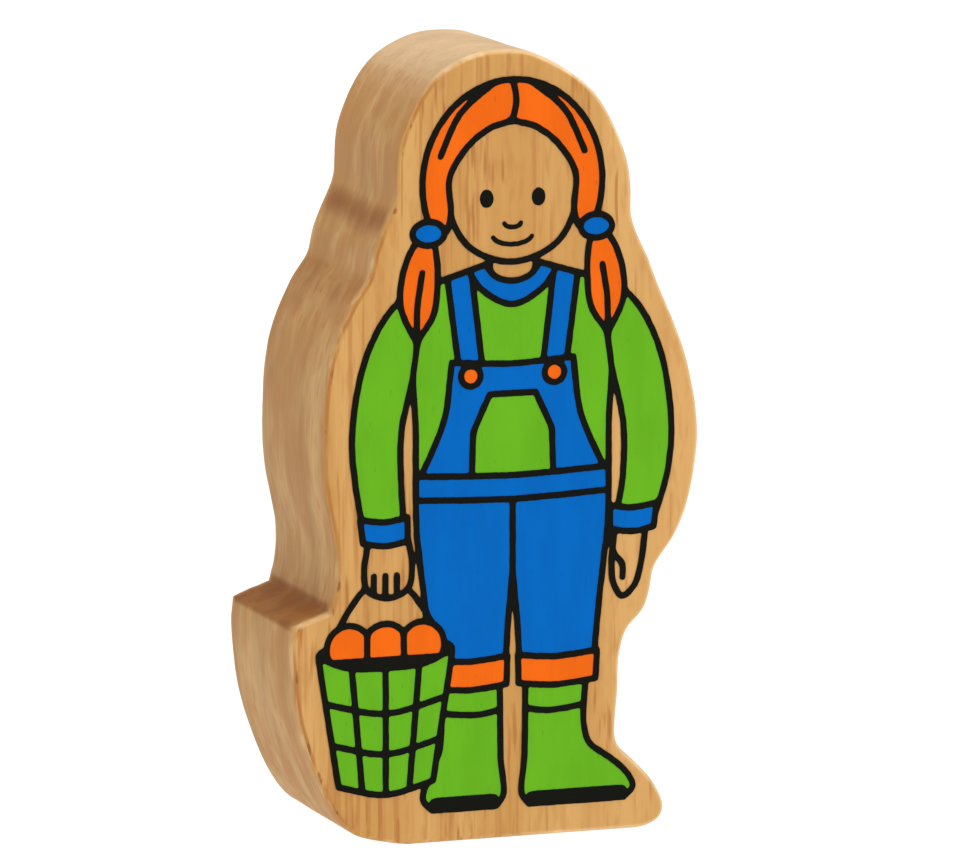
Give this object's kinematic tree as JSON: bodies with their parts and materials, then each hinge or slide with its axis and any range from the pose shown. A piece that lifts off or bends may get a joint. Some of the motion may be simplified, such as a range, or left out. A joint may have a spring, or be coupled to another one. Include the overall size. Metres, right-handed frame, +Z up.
{
  "type": "wooden toy figure",
  "caption": "Solid wooden block sawn to the silhouette of a child with a basket, printed front and back, that stands on its flat base",
  "frame": {"origin": "on the table, under the middle of the block's width and thickness", "axes": "+Z up along the child's height, front face looks along -Y, +X towards the child's left hand"},
  "size_m": [0.0538, 0.0252, 0.099],
  "materials": {
    "wood": "sanded, clear matt lacquer",
    "orange_ink": "screen-printed ink, satin",
    "green_ink": "screen-printed ink, satin",
    "blue_ink": "screen-printed ink, satin",
    "black_ink": "screen-printed ink, satin"
  },
  "bodies": {
    "root": {"wood_block": "wood", "back_basket_ink": "green_ink", "back_black_line": "black_ink", "back_braces_ink": "blue_ink", "back_collar_ink": "blue_ink", "back_fruit_ink": "orange_ink", "back_hair_ink": "orange_ink", "back_left_boot_ink": "green_ink", "back_left_bunch_ink": "orange_ink", "back_left_cuff_ink": "blue_ink", "back_left_hair_tie_ink": "blue_ink", "back_left_pocket_ink": "green_ink", "back_left_sleeve_ink": "green_ink", "back_left_turnup_ink": "orange_ink", "back_right_boot_ink": "green_ink", "back_right_bunch_ink": "orange_ink", "back_right_cuff_ink": "blue_ink", "back_right_hair_tie_ink": "blue_ink", "back_right_pocket_ink": "green_ink", "back_right_sleeve_ink": "green_ink", "back_right_turnup_ink": "orange_ink", "back_shirt_left_ink": "green_ink", "back_shirt_middle_ink": "green_ink", "back_shirt_right_ink": "green_ink", "back_trousers_ink": "blue_ink", "front_basket_ink": "green_ink", "front_bib_ink": "blue_ink", "front_black_line": "black_ink", "front_collar_ink": "blue_ink", "front_fruit_ink": "orange_ink", "front_hair_ink": "orange_ink", "front_left_boot_ink": "green_ink", "front_left_bunch_ink": "orange_ink", "front_left_button_ink": "orange_ink", "front_left_cuff_ink": "blue_ink", "front_left_eye_ink": "black_ink", "front_left_hair_tie_ink": "blue_ink", "front_left_sleeve_ink": "green_ink", "front_left_strap_ink": "blue_ink", "front_left_turnup_ink": "orange_ink", "front_mouth_ink": "black_ink", "front_nose_ink": "black_ink", "front_pocket_ink": "green_ink", "front_right_boot_ink": "green_ink", "front_right_bunch_ink": "orange_ink", "front_right_button_ink": "orange_ink", "front_right_cuff_ink": "blue_ink", "front_right_eye_ink": "black_ink", "front_right_hair_tie_ink": "blue_ink", "front_right_sleeve_ink": "green_ink", "front_right_strap_ink": "blue_ink", "front_right_turnup_ink": "orange_ink", "front_shirt_left_ink": "green_ink", "front_shirt_middle_ink": "green_ink", "front_shirt_right_ink": "green_ink", "front_trousers_ink": "blue_ink"}
  },
  "joints": []
}
